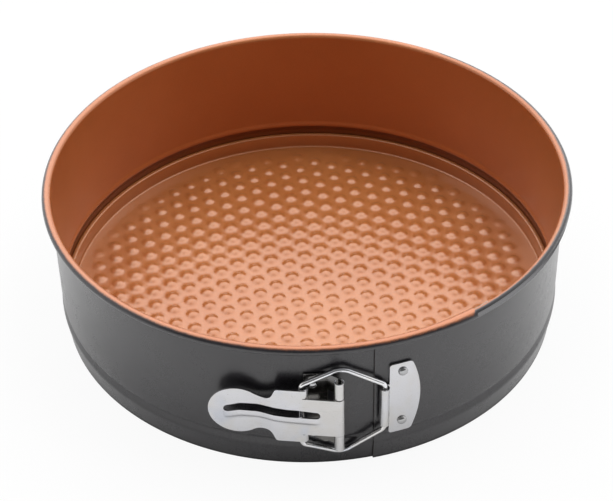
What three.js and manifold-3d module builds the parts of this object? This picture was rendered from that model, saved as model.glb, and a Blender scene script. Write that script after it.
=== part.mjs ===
import * as THREE from 'three';
import { mergeVertices } from 'three/addons/utils/BufferGeometryUtils.js';
import Module from 'manifold-3d';

// A round springform baking pan: a split spring-steel band with a rolled rim, a bumpy base
// held in the groove at its foot, and an over-centre lever latch across the split.
// Millimetres, Z up, the pan's axis on Z and the table at Z = 0. The latch faces -Y.
// Angles round the pan are in degrees from the latch side, growing towards +X.

// Band
const panHeight = 72.5;        // table to the top of the rolled rim
const wallRadius = 122.2;      // outside of the plain wall
const bandSheet = 0.6;         // steel thickness
const rimReach = 3.8;          // how far the rolled rim stands out from the wall
const rimDepth = 3.4;          // height of the roll
const creaseHeight = 15;       // inward ridge that keeps the base from rising
const creaseDepth = 0.9;
const creaseSpread = 2.2;      // height over which the ridge runs back into the wall
const shoulderHeight = 12.2;   // widest line of the skirt below the ridge
const shoulderReach = 0.8;
const footInset = 1.2;         // the skirt's lower edge, measured in from the wall
const footLip = 1.2;           // upright edge that the pan stands on
const bandSteps = 60;          // facets in a full turn

// Overlap of the band's two ends: the outer end lies over the inner end
const outerEndAngle = 12.9;
const innerEndAngle = 39.6;
const rollEndAngle = 34.8;     // the inner end's rolled rim stops here, the outer end's starts
const rollEndGap = 0.5;
const lapSettleAngle = 78;     // the outer end is back on the plain circle here
const lapGap = 0.35;

// Base
const baseSheet = 0.6;
const floorHeight = 1.9;       // top of the flat floor
const baseRimHeight = 9.7;     // top of the raised rim
const rimRoll = 0.7;           // radius of the rim's turned-over edge
const rimHem = 1.8;            // straight drop of that edge
const baseFit = 0.35;          // base rim to the inside of the skirt
const floorFillet = 1.0;
const bumpPitch = 10.09;
const bumpRadius = 3.7;
const bumpRise = 0.9;
const bumpFieldRadius = 105;
const bumpRowAngle = 37.9;     // direction of one row of bumps, from +X
const bumpShiftX = 1.0;        // the bump nearest the pan's axis
const bumpShiftY = 2.0;
const bumpSides = 4;           // facets of a bump, kept few because it repeats
const hollowSides = 3;         // and of the hollow underneath

// Latch
const latchHeight = 35.9;      // middle of the lever, hinge and keeper plate
const wireDrop = 1.0;          // middle of the wire loop, below the latch's middle
const seatGap = 0.25;          // clearance under a plate, rivet head or rolled edge
const pinRadius = 1.3;
const pinPlay = 0.25;
const pinRecess = 1.6;         // the pin ends this far inside the knuckles
const pinAngle = 5.382;        // hinge axis, round the pan
const pinStand = 6.27;         // hinge axis to the wall
const wireRadius = 1.15;

const leverSheet = 0.9;
const leverTilt = 7;           // turn of the lever's plate from the X axis
const leverLength = 57.3;      // hinge axis to the paddle's tip
const tongueHalf = 10.6;       // half width at the hinge
const wingHalf = 15.2;         // half width where the wire hooks in
const wingStart = 13.2;        // hinge axis to the wings' folded edge
const wingEnd = 28;
const neckHalf = 9.3;
const neckPlace = 32.5;
const paddleRadius = 12.9;
const cornerRound = 1.6;
const joggle = 1.7;            // the paddle lies this much nearer the wall
const joggleStart = 27;
const joggleEnd = 37;
const hookGap = 3.05;          // room for the wire inside a wing's fold
const hookEnd = 17.4;          // hinge axis to the end of the folded flange
const hookNotch = 0.3;         // relief between the tongue and a folded wing
const slotWidth = 2.8;
const lipRise = 0.9;           // pressed-out lip along the slot's lower edge
const lipWidth = 3.2;

const hingeSheet = 0.7;
const hingeHalf = 20.6;        // half height of the hinge plate
const knuckleHalf = 18.3;      // half height over both hinge knuckles
const hingeLeftAngle = -1.5;
const hingeFoldAngle = 3.4;

const keeperSheet = 0.8;
const keeperHalf = 20.35;
const keeperLeftAngle = 15.9;
const keeperRightAngle = 20.7;
const keeperBulge = 4.2;       // how far the right edge bows out
const eyeAngle = 14.7;
const eyeHalf = 10.9;
const legPlace = 16.4;         // hinge axis to the wire's leg in the wings
const legBack = 0.2;           // that leg, behind the hinge axis
const legHalf = 17.7;          // the loop's corners pass above and below the wings
const peakHalf = 24.2;
const peakPlace = 17.6;        // leg to the loop's peaks
const keeperLegHalf = 13.2;
const wireBend = 1.6;          // reach of the loop's rounded corners
const wireEndGap = 0.6;        // the wire's two ends face each other inside the keeper's eye

const rivetHeadRadius = 2.15;
const rivetHeadHeight = 1.15;
const rivetShank = 1.1;
const rivetPlay = 0.2;
const keeperRivetAngle = 18.7;
const keeperRivetHigh = 16.1;  // above the latch's middle
const keeperRivetLow = 13.3;   // below it
const hingeRivetAngle = 0.3;
const hingeRivetRise = 14.8;

const joinStep = 0.02;         // where two stretches of one sheet are joined

const rad = THREE.MathUtils.degToRad;
const wallMid = wallRadius - bandSheet / 2;
const wireHeight = latchHeight - wireDrop;
const lap = bandSheet + lapGap;

const finish = (color, roughness, metalness) =>
  new THREE.MeshStandardMaterial({ color, roughness, metalness });
const charcoal = () => finish(0x474545, 0.45, 0.6);
const copper = () => finish(0xb5754c, 0.4, 0.7);
const zinc = () => finish(0xc9c9cc, 0.3, 0.9);

const wasm = await Module();
wasm.setup();

// Point on a circle about the pan's axis, in plan
function around(radius, angle) {
  return new THREE.Vector2(radius * Math.sin(rad(angle)), -radius * Math.cos(rad(angle)));
}

function toSolid(geometry) {
  const bare = geometry.index ? geometry.toNonIndexed() : geometry.clone();
  bare.deleteAttribute('normal');
  bare.deleteAttribute('uv');
  const welded = mergeVertices(bare, 1e-4);
  return new wasm.Manifold(new wasm.Mesh({
    numProp: 3,
    vertProperties: new Float32Array(welded.attributes.position.array),
    triVerts: new Uint32Array(welded.index.array),
  }));
}

function toGeometry(solid) {
  const mesh = solid.getMesh();
  const geometry = new THREE.BufferGeometry();
  geometry.setAttribute('position', new THREE.BufferAttribute(mesh.vertProperties, 3));
  geometry.setIndex(new THREE.BufferAttribute(mesh.triVerts, 1));
  geometry.computeVertexNormals();
  return geometry;
}

// Outline of a bent sheet: its middle line moved half the thickness to either side
function sheetOutline(middle, thickness) {
  const left = [];
  const right = [];
  middle.forEach((point, i) => {
    const before = middle[Math.max(i - 1, 0)];
    const after = middle[Math.min(i + 1, middle.length - 1)];
    const inward = point.clone().sub(before).normalize();
    const outward = after.clone().sub(point).normalize();
    const along = inward.clone().add(outward).normalize();
    const cosine = Math.max(along.dot(i ? inward : outward), 0.5);
    const side = new THREE.Vector2(-along.y, along.x).multiplyScalar(thickness / 2 / cosine);
    left.push(point.clone().add(side));
    right.unshift(point.clone().sub(side));
  });
  return left.concat(right);
}

// Upright solid over a plan outline
function upright(outline, low, high) {
  const options = { depth: high - low, bevelEnabled: false };
  return toSolid(new THREE.ExtrudeGeometry(new THREE.Shape(outline), options).translate(0, 0, low));
}

// Solid through matching cross-sections, each listed counter-clockwise about the way they run
function loft(sections) {
  const count = sections[0].length;
  const positions = sections.flat().flatMap((p) => [p.x, p.y, p.z]);
  const faces = [];
  for (let s = 0; s < sections.length - 1; s++) {
    for (let i = 0; i < count; i++) {
      const a = s * count + i;
      const b = s * count + (i + 1) % count;
      faces.push(a, b, b + count, a, b + count, a + count);
    }
  }
  const flat = flatten(sections[0]);
  const last = (sections.length - 1) * count;
  for (const [a, b, c] of THREE.ShapeUtils.triangulateShape(flat, [])) {
    faces.push(a, c, b, last + a, last + b, last + c);
  }
  const geometry = new THREE.BufferGeometry();
  geometry.setAttribute('position', new THREE.Float32BufferAttribute(positions, 3));
  geometry.setIndex(faces);
  return toSolid(geometry);
}

// A flat section seen along its own axis, counter-clockwise
function flatten(section) {
  const normal = new THREE.Vector3();
  section.forEach((p, i) => normal.add(p.clone().cross(section[(i + 1) % section.length])));
  normal.normalize();
  const across = section[1].clone().sub(section[0]).normalize();
  const up = normal.clone().cross(across);
  return section.map((p) => new THREE.Vector2(p.dot(across), p.dot(up)));
}

// Front-facing frame at a point of the plan: X along the sheet, Y up, Z away from the pan
function facing(origin, turn, height) {
  const along = new THREE.Vector3(Math.cos(rad(turn)), Math.sin(rad(turn)), 0);
  const out = new THREE.Vector3(Math.sin(rad(turn)), -Math.cos(rad(turn)), 0);
  const frame = new THREE.Matrix4().makeBasis(along, new THREE.Vector3(0, 0, 1), out);
  return frame.setPosition(origin.x, origin.y, height);
}

// Solid behind a front-view outline, from depth near to depth far along the frame's Z
function through(shape, frame, near, far, smooth = 8) {
  const options = { depth: far - near, bevelEnabled: false, curveSegments: smooth };
  return toSolid(new THREE.ExtrudeGeometry(shape, options).translate(0, 0, near).applyMatrix4(frame));
}

function rectangle(x0, x1, y0, y1) {
  const corners = [[x0, y0], [x1, y0], [x1, y1], [x0, y1]];
  return new THREE.Shape(corners.map(([x, y]) => new THREE.Vector2(x, y)));
}

// Middle line of a rolled edge about a centre, in plan
function rolled(centre, radius, start, sweep, steps) {
  return Array.from({ length: steps + 1 }, (_, i) => {
    const angle = rad(start + sweep * i / steps);
    return new THREE.Vector2(Math.cos(angle), Math.sin(angle)).multiplyScalar(radius).add(centre);
  });
}

// Rivets: a domed head outside a plate, its shank through the plate and the wall behind it

const outerWall = wallRadius + lap;
const keeperFoot = { wall: outerWall, plate: keeperSheet, angle: keeperRivetAngle };
const hingeFoot = { wall: wallRadius, plate: hingeSheet, angle: hingeRivetAngle };
const keeperRivets = [
  { name: 'rivet_keeper_upper', height: latchHeight + keeperRivetHigh, ...keeperFoot },
  { name: 'rivet_keeper_lower', height: latchHeight - keeperRivetLow, ...keeperFoot },
];
const hingeRivets = [
  { name: 'rivet_hinge_upper', height: latchHeight + hingeRivetRise, ...hingeFoot },
  { name: 'rivet_hinge_lower', height: latchHeight - hingeRivetRise, ...hingeFoot },
];

// Frame on the wall's outside face at a rivet, its Z along the rivet
function rivetFrame(rivet) {
  return facing(around(rivet.wall, rivet.angle), rivet.angle, rivet.height);
}

function rivetSolid(rivet) {
  const seat = seatGap + rivet.plate + seatGap;
  const profile = new THREE.Path();
  profile.moveTo(0, -bandSheet);
  profile.lineTo(rivetShank, -bandSheet);
  profile.lineTo(rivetShank, seat);
  profile.lineTo(rivetHeadRadius, seat);
  profile.quadraticCurveTo(rivetHeadRadius, seat + rivetHeadHeight, 0, seat + rivetHeadHeight);
  return toSolid(new THREE.LatheGeometry(profile.getPoints(3), 10).rotateX(Math.PI / 2));
}

// Clearance hole through one wall and its plate
function rivetHole(rivet) {
  const radius = rivetShank + rivetPlay;
  const inner = -bandSheet - lapGap / 2;
  const hole = new THREE.CylinderGeometry(radius, radius, 4 - inner, 12).rotateX(Math.PI / 2);
  return toSolid(hole.translate(0, 0, (4 + inner) / 2).applyMatrix4(rivetFrame(rivet)));
}

function drilled(solid, spots) {
  return spots.reduce((left, rivet) => left.subtract(rivetHole(rivet)), solid);
}

// Band: one sheet profile swept round the pan, its outer end riding over the inner end

const rollHalf = rimReach / 2;
const rollRise = (rimDepth - bandSheet) / 2;
const rollHeight = panHeight - bandSheet / 2 - rollRise;

// Sheet profile: foot, skirt, inward ridge and wall, then the rolled rim or a plain top edge
function bandSection(hasRoll, thickness) {
  const middle = new THREE.Path();
  middle.moveTo(wallMid - footInset, 0);
  middle.lineTo(wallMid - footInset, footLip);
  middle.lineTo(wallMid + shoulderReach, shoulderHeight - footLip);
  middle.lineTo(wallMid + shoulderReach, shoulderHeight);
  middle.lineTo(wallMid - creaseDepth, creaseHeight);
  middle.lineTo(wallMid, creaseHeight + creaseSpread);
  if (hasRoll) {
    middle.absellipse(wallMid + rollHalf, rollHeight, rollHalf, rollRise, Math.PI, -Math.PI / 2, true);
  } else {
    middle.lineTo(wallMid, rollHeight - rollRise / 2);
  }
  return sheetOutline(middle.getPoints(4), thickness);
}

// How far the band's middle line lies outside the plain circle
function lapGrowth(angle) {
  const fade = THREE.MathUtils.smoothstep(angle, innerEndAngle + 4, lapSettleAngle);
  return lap * (1 - fade);
}

const bandStep = 360 / bandSteps;

function bandAngles(from, to) {
  const angles = [from];
  for (let i = Math.ceil((from + 0.5) / bandStep); i * bandStep < to - 0.5; i++) {
    angles.push(i * bandStep);
  }
  return angles.concat(to);
}

function sweepBand(section, angles) {
  return loft(angles.map((angle) => section.map((p) => {
    const spot = around(p.x + lapGrowth(angle), angle);
    return new THREE.Vector3(spot.x, spot.y, p.y);
  })));
}

// The two plain ends reach one facet into the rolled stretch and are a hair thinner
function bandSolid() {
  const rollStart = rollEndAngle + rollEndGap;
  const rollStop = 360 + rollEndAngle;
  const rolledAngles = bandAngles(rollStart, rollStop);
  const outerAngles = [...bandAngles(outerEndAngle, rollStart), rolledAngles[1]];
  const innerAngles = [rolledAngles.at(-2), ...bandAngles(rollStop, 360 + innerEndAngle)];
  const plain = bandSection(false, bandSheet - 2 * joinStep);
  const rim = sweepBand(bandSection(true, bandSheet), rolledAngles);
  const whole = rim.add(sweepBand(plain, outerAngles)).add(sweepBand(plain, innerAngles));
  return drilled(whole, [...keeperRivets, ...hingeRivets]);
}

// Base: a shallow tray turned from one profile, its floor pressed with a field of bumps

const hemHeight = baseRimHeight - baseSheet / 2 - rimRoll - rimHem;

function skirtInside(height) {
  const rise = (height - footLip) / (shoulderHeight - 2 * footLip);
  return wallMid - footInset + (footInset + shoulderReach) * rise - bandSheet / 2;
}

const baseRimRadius = skirtInside(hemHeight) - baseFit;

function trayGeometry() {
  const hem = baseRimRadius - baseSheet / 2;
  const riser = hem - 2 * rimRoll;
  const floorMid = floorHeight - baseSheet / 2;
  const rollMid = baseRimHeight - baseSheet / 2 - rimRoll;
  const middle = new THREE.Path();
  middle.moveTo(0, floorMid);
  middle.lineTo(riser - floorFillet, floorMid);
  middle.quadraticCurveTo(riser, floorMid, riser, floorMid + floorFillet);
  middle.lineTo(riser, rollMid);
  middle.absarc(hem - rimRoll, rollMid, rimRoll, Math.PI, 0, true);
  middle.lineTo(hem, hemHeight);
  const outline = sheetOutline(middle.getPoints(2), baseSheet).reverse();
  outline.forEach((p) => p.setX(Math.max(p.x, 0)));
  return new THREE.LatheGeometry(outline, bandSteps).rotateX(Math.PI / 2);
}

// Centres of the bumps: every point of a triangular lattice inside the field
function bumpSpots() {
  const turn = rad(bumpRowAngle);
  const reach = Math.ceil(bumpFieldRadius / bumpPitch) + 2;
  const spots = [];
  for (let row = -reach; row <= reach; row++) {
    for (let i = -2 * reach; i <= 2 * reach; i++) {
      const spot = new THREE.Vector2((i + row / 2) * bumpPitch, row * bumpPitch * Math.sqrt(0.75));
      spot.rotateAround(new THREE.Vector2(), turn);
      spot.add(new THREE.Vector2(bumpShiftX, bumpShiftY));
      if (spot.length() < bumpFieldRadius) {
        spots.push(spot);
      }
    }
  }
  return spots;
}

// Upright cones at every bump, starting a little below the given height
function bumpCones(radius, foot, tip, under, sides) {
  const slope = radius / (tip - foot);
  const wide = radius + under * slope;
  const middle = (tip + foot - under) / 2;
  return bumpSpots().map((spot) => {
    const cone = new THREE.CylinderGeometry(0, wide, tip - foot + under, sides, 1);
    return toSolid(cone.rotateX(Math.PI / 2).translate(spot.x, spot.y, middle));
  });
}

// The floor is pressed up into bumps, which leave hollows underneath
function baseSolid() {
  const below = floorHeight - baseSheet;
  const embed = baseSheet / 4;
  const hollow = bumpRadius - baseSheet;
  const bumps = bumpCones(bumpRadius, floorHeight, floorHeight + bumpRise, embed, bumpSides);
  const hollows = bumpCones(hollow, below, below + bumpRise, embed, hollowSides);
  const pressed = wasm.Manifold.union([toSolid(trayGeometry()), ...bumps]);
  return pressed.subtract(wasm.Manifold.union(hollows));
}

// Hinge: a plate riveted to the inner end, its two straps rolled round the pin

const pinSpot = around(wallRadius + pinStand, pinAngle);
const knuckleRadius = pinRadius + pinPlay + hingeSheet / 2;

function hingeSolid() {
  const plateMid = wallRadius + seatGap + hingeSheet / 2;
  const steps = 4;
  const middle = Array.from({ length: steps + 1 }, (_, i) =>
    around(plateMid, hingeLeftAngle + (hingeFoldAngle - hingeLeftAngle) * i / steps));
  const fold = middle[steps];
  const toPin = pinSpot.clone().sub(fold);
  const lean = toPin.angle() + Math.asin(knuckleRadius / toPin.length());
  const touch = THREE.MathUtils.radToDeg(lean) + 90;
  middle.push(...rolled(pinSpot, knuckleRadius, touch, -275, 12));
  const plate = upright(sheetOutline(middle, hingeSheet), latchHeight - hingeHalf, latchHeight + hingeHalf);
  const frame = facing(fold, 0, latchHeight);
  const reach = [0.4, 20];
  const open = tongueHalf + seatGap;
  const cuts = [rectangle(...reach, -open, open), rectangle(...reach, knuckleHalf, 2 * hingeHalf),
    rectangle(...reach, -2 * hingeHalf, -knuckleHalf)];
  const straps = cuts.reduce((left, cut) => left.subtract(through(cut, frame, -10, 20)), plate);
  return drilled(straps, hingeRivets);
}

function pinSolid() {
  const length = 2 * (knuckleHalf - pinRecess);
  const pin = new THREE.CylinderGeometry(pinRadius, pinRadius, length, 16);
  pin.rotateX(Math.PI / 2);
  return toSolid(pin.translate(pinSpot.x, pinSpot.y, latchHeight));
}

// Keeper: a plate riveted to the outer end, its tongue rolled into an eye for the wire

const eyeRadius = wireRadius + pinPlay + keeperSheet / 2;
const keeperMid = outerWall + seatGap + keeperSheet / 2;
const eyeSpot = around(keeperMid + eyeRadius, eyeAngle);

function keeperSolid() {
  const far = keeperRightAngle + 5;
  const steps = 6;
  const middle = Array.from({ length: steps + 1 }, (_, i) =>
    around(keeperMid, far + (eyeAngle - far) * i / steps));
  middle.push(...rolled(eyeSpot, eyeRadius, eyeAngle + 90, 285, 12).slice(1));
  const strip = upright(sheetOutline(middle, keeperSheet), latchHeight - keeperHalf,
    latchHeight + keeperHalf);
  const frame = facing(around(keeperMid, keeperRivetAngle), keeperRivetAngle, latchHeight);
  const across = (angle) => keeperMid * Math.sin(rad(angle - keeperRivetAngle));
  const left = across(keeperLeftAngle);
  const right = across(keeperRightAngle);
  const eye = across(eyeAngle) - 2 * eyeRadius;
  const drop = wireHeight - latchHeight;
  const outline = new THREE.Shape();
  outline.moveTo(left, -keeperHalf);
  outline.lineTo(right, -keeperHalf);
  outline.quadraticCurveTo(right + 2 * keeperBulge, 0, right, keeperHalf);
  outline.lineTo(left, keeperHalf);
  outline.lineTo(left, drop + eyeHalf);
  outline.lineTo(eye, drop + eyeHalf);
  outline.lineTo(eye, drop - eyeHalf);
  outline.lineTo(left, drop - eyeHalf);
  return drilled(strip.intersect(through(outline, frame, -5, 10)), keeperRivets);
}

// Lever, in its own frame: X along the plate with the hinge axis at 0 and the paddle at -X,
// Y up, Z away from the pan

const leverFrame = facing(pinSpot, -leverTilt, latchHeight);
const leverMid = pinRadius + pinPlay + leverSheet / 2;
const leverPlan = (x, z) => new THREE.Vector3(x, 0, z).applyMatrix4(leverFrame);

function leverDepth(x) {
  return leverMid - joggle * THREE.MathUtils.smoothstep(-x, joggleStart, joggleEnd);
}

function leverOutline() {
  const head = -leverLength + paddleRadius;
  const join = rad(62);
  const joinX = head + paddleRadius * Math.cos(join);
  const joinY = paddleRadius * Math.sin(join);
  const wing = -wingStart - leverSheet - hookGap / 2;
  const outline = new THREE.Shape();
  outline.moveTo(2 * leverMid, -tongueHalf);
  outline.lineTo(2 * leverMid, tongueHalf);
  outline.lineTo(wing, tongueHalf);
  outline.lineTo(wing, wingHalf);
  outline.lineTo(-wingEnd + cornerRound, wingHalf);
  outline.quadraticCurveTo(-wingEnd, wingHalf, -wingEnd, wingHalf - cornerRound);
  outline.bezierCurveTo(-wingEnd - 0.5, neckHalf, -neckPlace + 2, neckHalf, -neckPlace, neckHalf);
  outline.quadraticCurveTo(-neckPlace - 3, neckHalf, joinX, joinY);
  outline.absarc(head, 0, paddleRadius, join, -join, false);
  outline.quadraticCurveTo(-neckPlace - 3, -neckHalf, -neckPlace, -neckHalf);
  outline.bezierCurveTo(-neckPlace + 2, -neckHalf, -wingEnd - 0.5, -neckHalf, -wingEnd,
    cornerRound - wingHalf);
  outline.quadraticCurveTo(-wingEnd, -wingHalf, -wingEnd + cornerRound, -wingHalf);
  outline.lineTo(wing, -wingHalf);
  outline.lineTo(wing, -tongueHalf);
  return outline;
}

// Plate with its step towards the wall, rolled round the pin at the hinge end
function leverPlate() {
  const steps = 6;
  const stepped = Array.from({ length: steps + 1 }, (_, i) =>
    -joggleEnd + (joggleEnd - joggleStart) * i / steps);
  const middle = [-leverLength - 5, ...stepped].map((x) => new THREE.Vector2(x, leverDepth(x)));
  middle.push(...rolled(new THREE.Vector2(), leverMid, 90, -285, 12));
  const plan = sheetOutline(middle, leverSheet).map((p) => leverPlan(p.x, p.y));
  const strip = upright(plan.map((p) => new THREE.Vector2(p.x, p.y)),
    latchHeight - wingHalf - 2, latchHeight + wingHalf + 2);
  return strip.intersect(through(leverOutline(), leverFrame, -10, 10, 6));
}

// Wings' folded edges that hook the wire: the sheet turned back behind the plate
function wingHook(low, high) {
  const thin = leverSheet - 2 * joinStep;
  const fold = (hookGap + leverSheet) / 2;
  const centre = new THREE.Vector2(-wingStart - leverSheet - hookGap / 2, leverMid - fold);
  const middle = [new THREE.Vector2(centre.x - 3, leverMid), ...rolled(centre, fold, 90, -180, 8)];
  middle.push(new THREE.Vector2(-hookEnd, leverMid - 2 * fold));
  const plan = sheetOutline(middle, thin).map((p) => leverPlan(p.x, p.y));
  return upright(plan.map((p) => new THREE.Vector2(p.x, p.y)), latchHeight + low, latchHeight + high);
}

// Middle line of the wavy slot: each place is a share of the lever's length
function slotLine() {
  const waves = [[0.88, 0.9], [0.73, 2.9], [0.56, 3.1], [0.35, 2.1], [0.14, 1.4]];
  const line = waves.map(([share, y]) => new THREE.Vector2(-share * leverLength, y));
  return new THREE.SplineCurve(line).getPoints(12);
}

// Lip pressed out of the plate under the slot, fading at both ends
function slotLip() {
  const line = slotLine();
  return loft(line.map((p, i) => {
    const rise = lipRise * Math.sqrt(Math.sin(Math.PI * (i + 0.5) / line.length));
    const front = leverDepth(p.x) + leverSheet / 2;
    const edge = p.y - slotWidth / 2;
    const section = [[edge - lipWidth, -0.5], [edge, -0.5], [edge, rise],
      [edge - lipWidth / 3, rise], [edge - lipWidth, -0.05]];
    return section.map(([y, z]) => new THREE.Vector3(p.x, y, front + z).applyMatrix4(leverFrame));
  }));
}

function leverSolid() {
  const slot = new THREE.Shape(sheetOutline(slotLine(), slotWidth));
  const edge = wingHalf - joinStep;
  const upper = wingHook(tongueHalf + hookNotch, edge);
  const lower = wingHook(-edge, -tongueHalf - hookNotch);
  const whole = leverPlate().add(upper).add(lower).add(slotLip());
  return whole.subtract(through(slot, leverFrame, -0.5, 10));
}

// Wire: a six-sided loop from the wings to the keeper's eye, passing above and below the hinge

const legSpot = leverPlan(-legPlace, -legBack);

function wireGeometry() {
  const eye = new THREE.Vector3(eyeSpot.x, eyeSpot.y, 0);
  const leg = new THREE.Vector3(legSpot.x, legSpot.y, 0);
  const along = eye.clone().sub(leg).normalize();
  const reach = eye.distanceTo(leg);
  const at = (place, rise) =>
    leg.clone().addScaledVector(along, place).setZ(wireHeight + rise);
  const corners = [at(reach, wireEndGap / 2), at(reach, keeperLegHalf), at(peakPlace, peakHalf),
    at(0, legHalf), at(0, -legHalf), at(peakPlace, -peakHalf), at(reach, -keeperLegHalf),
    at(reach, -wireEndGap / 2)];
  const path = new THREE.CurvePath();
  let from = corners[0];
  for (let i = 1; i < corners.length - 1; i++) {
    const into = corners[i].clone().sub(corners[i - 1]).setLength(wireBend);
    const away = corners[i + 1].clone().sub(corners[i]).setLength(wireBend);
    const start = corners[i].clone().sub(into);
    const end = corners[i].clone().add(away);
    path.add(new THREE.LineCurve3(from, start));
    path.add(new THREE.QuadraticBezierCurve3(start, corners[i], end));
    from = end;
  }
  path.add(new THREE.LineCurve3(from, corners[corners.length - 1]));
  const section = new THREE.Shape();
  section.absarc(0, 0, wireRadius, 0, 2 * Math.PI);
  return new THREE.ExtrudeGeometry(section, { steps: 56, curveSegments: 4, extrudePath: path });
}

const pan = new THREE.Group();

function place(name, solid, material) {
  const mesh = new THREE.Mesh(toGeometry(solid), material);
  mesh.name = name;
  pan.add(mesh);
  return mesh;
}

place('band', bandSolid(), charcoal());
place('base_disc', baseSolid(), copper());
place('hinge_bracket', hingeSolid(), zinc());
place('hinge_pin', pinSolid(), zinc());
place('keeper', keeperSolid(), zinc());
place('lever', leverSolid(), zinc());
place('wire_loop', toSolid(wireGeometry()), zinc());
for (const rivet of [...keeperRivets, ...hingeRivets]) {
  place(rivet.name, rivetSolid(rivet), zinc()).applyMatrix4(rivetFrame(rivet));
}

// The frame's origin lies under the middle of the whole part, latch included
const middle = new THREE.Box3().setFromObject(pan).getCenter(new THREE.Vector3());
for (const mesh of pan.children) {
  mesh.position.y -= middle.y;
}

export default pan;
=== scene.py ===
from math import atan2, cos, degrees, pi, radians, sin, sqrt

import bmesh
import bpy
from mathutils import Matrix, Vector


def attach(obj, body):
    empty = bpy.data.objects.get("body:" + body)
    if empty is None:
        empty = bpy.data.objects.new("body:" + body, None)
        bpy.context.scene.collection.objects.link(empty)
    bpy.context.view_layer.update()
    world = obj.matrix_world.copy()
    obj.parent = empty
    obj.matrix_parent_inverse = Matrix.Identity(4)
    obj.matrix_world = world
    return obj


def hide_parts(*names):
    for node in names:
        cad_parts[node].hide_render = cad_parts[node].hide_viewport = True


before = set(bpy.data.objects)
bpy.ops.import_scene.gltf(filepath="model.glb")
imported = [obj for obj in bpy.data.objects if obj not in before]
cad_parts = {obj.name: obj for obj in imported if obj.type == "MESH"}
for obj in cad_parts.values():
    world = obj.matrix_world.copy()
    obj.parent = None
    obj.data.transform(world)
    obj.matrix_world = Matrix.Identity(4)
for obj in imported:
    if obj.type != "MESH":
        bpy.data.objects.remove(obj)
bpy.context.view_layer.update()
scene = bpy.context.scene
scene.view_settings.view_transform = "Standard"
print("frame loaded:", len(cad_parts), "nodes")

panAxis = 2.182  # mm from the origin to the pan's axis, along +Y


# Shader sockets with arithmetic

class Signal:
    def __init__(self, tree, socket=None):
        self.tree = tree
        self.socket = socket

    def node(self, kind, settings=None, sockets=None, out=0):
        made = self.tree.nodes.new("ShaderNode" + kind)
        for name, value in (settings or {}).items():
            setattr(made, name, value)
        for name, value in (sockets or {}).items():
            if isinstance(value, Signal):
                self.tree.links.new(value.socket, made.inputs[name])
            else:
                made.inputs[name].default_value = value
        return Signal(self.tree, made.outputs[out] if made.outputs else None)

    def maths(self, operation, first, second):
        return self.node("Math", {"operation": operation}, {0: first, 1: second})

    def __add__(self, other):
        return self.maths("ADD", self, other)

    def __radd__(self, other):
        return self.maths("ADD", other, self)

    def __sub__(self, other):
        return self.maths("SUBTRACT", self, other)

    def __rsub__(self, other):
        return self.maths("SUBTRACT", other, self)

    def __mul__(self, other):
        return self.maths("MULTIPLY", self, other)

    def __rmul__(self, other):
        return self.maths("MULTIPLY", other, self)

    def larger(self, other):
        return self.maths("MAXIMUM", self, other)

    def between(self, low, high):  # 0 at low, 1 at high, eased
        return self.node("MapRange", {"interpolation_type": "SMOOTHSTEP"},
                         {"Value": self, "From Min": low, "From Max": high})

    def blend(self, first, second):  # colours, by this value
        return self.node("Mix", {"data_type": "RGBA"}, {0: self, 6: first, 7: second}, 2)

    def noise(self, scale, detail):
        return self.node("TexNoise", None, {"Vector": self, "Scale": scale, "Detail": detail,
                                            "Roughness": 0.55})

    def scaled(self, factors):  # a colour or vector, part by part
        return self.node("VectorMath", {"operation": "MULTIPLY"}, {0: self, 1: factors})

    def parts(self):
        split = self.node("SeparateXYZ", None, {0: self}).socket.node
        return [Signal(self.tree, out) for out in split.outputs]


def newFinish(name):
    material = bpy.data.materials.new(name)
    material.use_nodes = True
    material.node_tree.nodes.clear()
    return material, Signal(material.node_tree)


def closeFinish(start, shader):
    start.node("OutputMaterial", None, {"Surface": shader})


def surfacePlace(start):
    return start.node("TexCoord", out="Object")


grainDepth = 0.0002  # metres


def fineBump(start, strength, height):
    return start.node("Bump", None, {"Strength": strength, "Distance": grainDepth, "Height": height})


# Copper inside, charcoal outside

copperLook = {
    # shade is a painted shade colour for the copper under the band's inward ridge
    "colour": (0.455, 0.149, 0.038), "pale": (0.52, 0.190, 0.057), "shade": (0.21, 0.055, 0.012),
    "wall": (1.08, 0.95, 0.93),  # the band's copper is a little redder than the base's
    "roughness": 0.30, "metal": 0.18, "gloss": 1.0, "coatRoughness": 0.22,
    "cloud": 14.0, "cloudShare": 0.6, "cloudRough": 0.05,
    "grain": 2600.0, "grainShare": 0.4, "grainRough": 0.08, "mottle": (0.35, 0.7), "relief": 0.08,
}
charcoalLook = {
    "colour": (0.021, 0.0185, 0.023), "pale": (0.048, 0.045, 0.050),
    "roughness": 0.28, "gloss": 0.85, "cloud": 40.0, "cloudRough": 0.12,
    "grain": 2200.0, "grainRough": 0.06, "fleck": 3600.0, "fleckRange": (0.66, 0.76), "fleckShare": 0.6,
}
bandLook = {
    "coatRoughness": 0.30, "relief": 0.10,
    "overRim": 0.54, "overRimSlope": 1.4,  # how far the copper runs over the rim, more towards +X
    "overOuterEnd": 0.06, "outerFrom": 0.0706, "outerTo": 0.0714,  # less past here, metres along X
    "ragged": 0.30, "raggedScale": 260.0, "spray": 0.35, "sprayScale": 1500.0,
    "fadeFrom": -0.34, "fadeTo": 0.26,
    "rollFrom": 0.1233, "rollTo": 0.1237, "rollUnder": 0.0712, "rollFade": 0.0004,
    "rollDark": 2,
    # painted shade under the inward ridge: where it starts, how it fades, how much coat it takes away
    "paintedShadeTop": 0.0146, "paintedShadeFade": 0.0008, "paintedShadeDim": 0.7,
}


def copperSignals(place):
    look = copperLook
    cloud = place.noise(look["cloud"], 4.0)
    grain = place.noise(look["grain"], 2.0)
    mottle = (cloud * look["cloudShare"] + grain * look["grainShare"]).between(*look["mottle"])
    colour = mottle.blend((*look["colour"], 1), (*look["pale"], 1))
    rough = look["roughness"] + (cloud - 0.5) * look["cloudRough"] + (grain - 0.5) * look["grainRough"]
    return colour, rough, grain


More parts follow.
